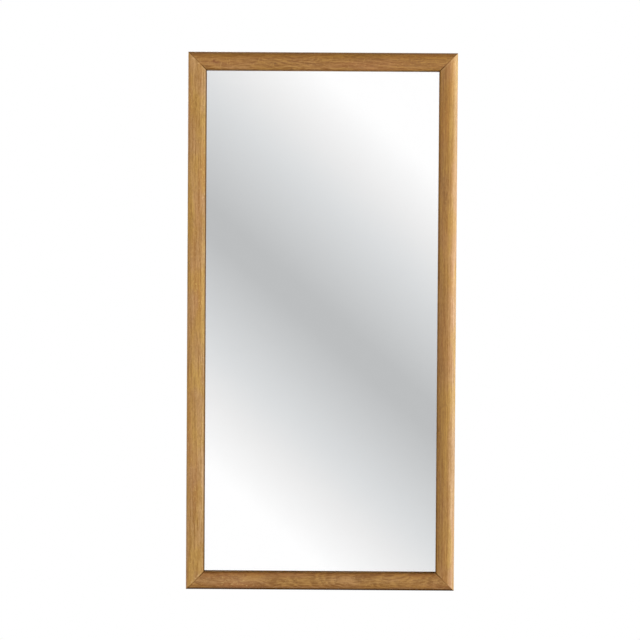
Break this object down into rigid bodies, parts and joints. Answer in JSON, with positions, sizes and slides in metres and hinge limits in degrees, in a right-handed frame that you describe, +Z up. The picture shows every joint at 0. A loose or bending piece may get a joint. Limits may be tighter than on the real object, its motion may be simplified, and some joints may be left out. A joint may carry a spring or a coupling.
{
  "type": "wall mirror",
  "caption": "Tall rectangular wall mirror with a mitred light oak frame of rounded section, a backing board under turn buttons, and ring hangers.",
  "frame": {"origin": "on the wall plane, behind the middle of the mirror, level with the faces of the four wall bumpers", "axes": "+X to the right of someone who looks at the mirror, +Y into the wall, +Z up; the mirror's front faces -Y"},
  "size_m": [0.6, 0.031, 1.2],
  "materials": {
    "oak": "clear satin oil on light oak",
    "beech": "bare",
    "nail_steel": "plain steel",
    "foam_tape": "closed-cell foam",
    "glass": "clear float glass",
    "silver": "silvered",
    "film": "woven-look safety film",
    "block_rubber": "matt",
    "spacer_plastic": "matt",
    "card": "grey-brown card",
    "hardboard": "smooth hardboard",
    "zinc_steel": "bright zinc plate",
    "bumper_rubber": "matt"
  },
  "bodies": {
    "mirror": {"top_rail": "oak", "bottom_rail": "oak", "left_stile": "oak", "right_stile": "oak", "mitre_tenon_bottom_left": "beech", "mitre_tenon_bottom_right": "beech", "mitre_tenon_top_left": "beech", "mitre_tenon_top_right": "beech", "corner_v_nails": "nail_steel", "glazing_tape_top": "foam_tape", "glazing_tape_bottom": "foam_tape", "glazing_tape_left": "foam_tape", "glazing_tape_right": "foam_tape", "glass_pane": "glass", "silver_coat": "silver", "safety_film": "film", "setting_blocks": "block_rubber", "edge_spacers": "spacer_plastic", "packing_sheet": "card", "backing_board": "hardboard", "turn_button_screws": "zinc_steel", "hanger_strap_left": "zinc_steel", "hanger_strap_right": "zinc_steel", "hanger_screws": "zinc_steel", "wall_bumper_top_left": "bumper_rubber", "wall_bumper_top_right": "bumper_rubber", "wall_bumper_bottom_left": "bumper_rubber", "wall_bumper_bottom_right": "bumper_rubber"},
    "button_left_top": {"turn_button_left_top": "zinc_steel"},
    "button_left_middle": {"turn_button_left_middle": "zinc_steel"},
    "button_left_bottom": {"turn_button_left_bottom": "zinc_steel"},
    "button_right_top": {"turn_button_right_top": "zinc_steel"},
    "button_right_middle": {"turn_button_right_middle": "zinc_steel"},
    "button_right_bottom": {"turn_button_right_bottom": "zinc_steel"},
    "button_top_left": {"turn_button_top_left": "zinc_steel"},
    "button_top_right": {"turn_button_top_right": "zinc_steel"},
    "button_bottom_left": {"turn_button_bottom_left": "zinc_steel"},
    "button_bottom_right": {"turn_button_bottom_right": "zinc_steel"},
    "ring_left": {"hanger_ring_left": "zinc_steel"},
    "ring_right": {"hanger_ring_right": "zinc_steel"}
  },
  "joints": [
    {"name": "button_left_top_turn", "type": "hinge", "parent": "mirror", "child": "button_left_top", "pos_m": [-0.278, -0.00515, 0.4], "axis": [0, 1, 0], "continuous": true},
    {"name": "button_left_middle_turn", "type": "hinge", "parent": "mirror", "child": "button_left_middle", "pos_m": [-0.278, -0.00515, 0], "axis": [0, 1, 0], "continuous": true},
    {"name": "button_left_bottom_turn", "type": "hinge", "parent": "mirror", "child": "button_left_bottom", "pos_m": [-0.278, -0.00515, -0.4], "axis": [0, 1, 0], "continuous": true},
    {"name": "button_right_top_turn", "type": "hinge", "parent": "mirror", "child": "button_right_top", "pos_m": [0.278, -0.00515, 0.4], "axis": [0, 1, 0], "continuous": true},
    {"name": "button_right_middle_turn", "type": "hinge", "parent": "mirror", "child": "button_right_middle", "pos_m": [0.278, -0.00515, 0], "axis": [0, 1, 0], "continuous": true},
    {"name": "button_right_bottom_turn", "type": "hinge", "parent": "mirror", "child": "button_right_bottom", "pos_m": [0.278, -0.00515, -0.4], "axis": [0, 1, 0], "continuous": true},
    {"name": "button_top_left_turn", "type": "hinge", "parent": "mirror", "child": "button_top_left", "pos_m": [-0.15, -0.00515, 0.578], "axis": [0, 1, 0], "continuous": true},
    {"name": "button_top_right_turn", "type": "hinge", "parent": "mirror", "child": "button_top_right", "pos_m": [0.15, -0.00515, 0.578], "axis": [0, 1, 0], "continuous": true},
    {"name": "button_bottom_left_turn", "type": "hinge", "parent": "mirror", "child": "button_bottom_left", "pos_m": [-0.15, -0.00515, -0.578], "axis": [0, 1, 0], "continuous": true},
    {"name": "button_bottom_right_turn", "type": "hinge", "parent": "mirror", "child": "button_bottom_right", "pos_m": [0.15, -0.00515, -0.578], "axis": [0, 1, 0], "continuous": true},
    {"name": "ring_left_swing", "type": "hinge", "parent": "mirror", "child": "ring_left", "pos_m": [-0.285, -0.00345, 0.2845], "axis": [-1, 0, 0], "range_deg": [-3, 175]},
    {"name": "ring_right_swing", "type": "hinge", "parent": "mirror", "child": "ring_right", "pos_m": [0.285, -0.00345, 0.2845], "axis": [-1, 0, 0], "range_deg": [-3, 175]}
  ]
}
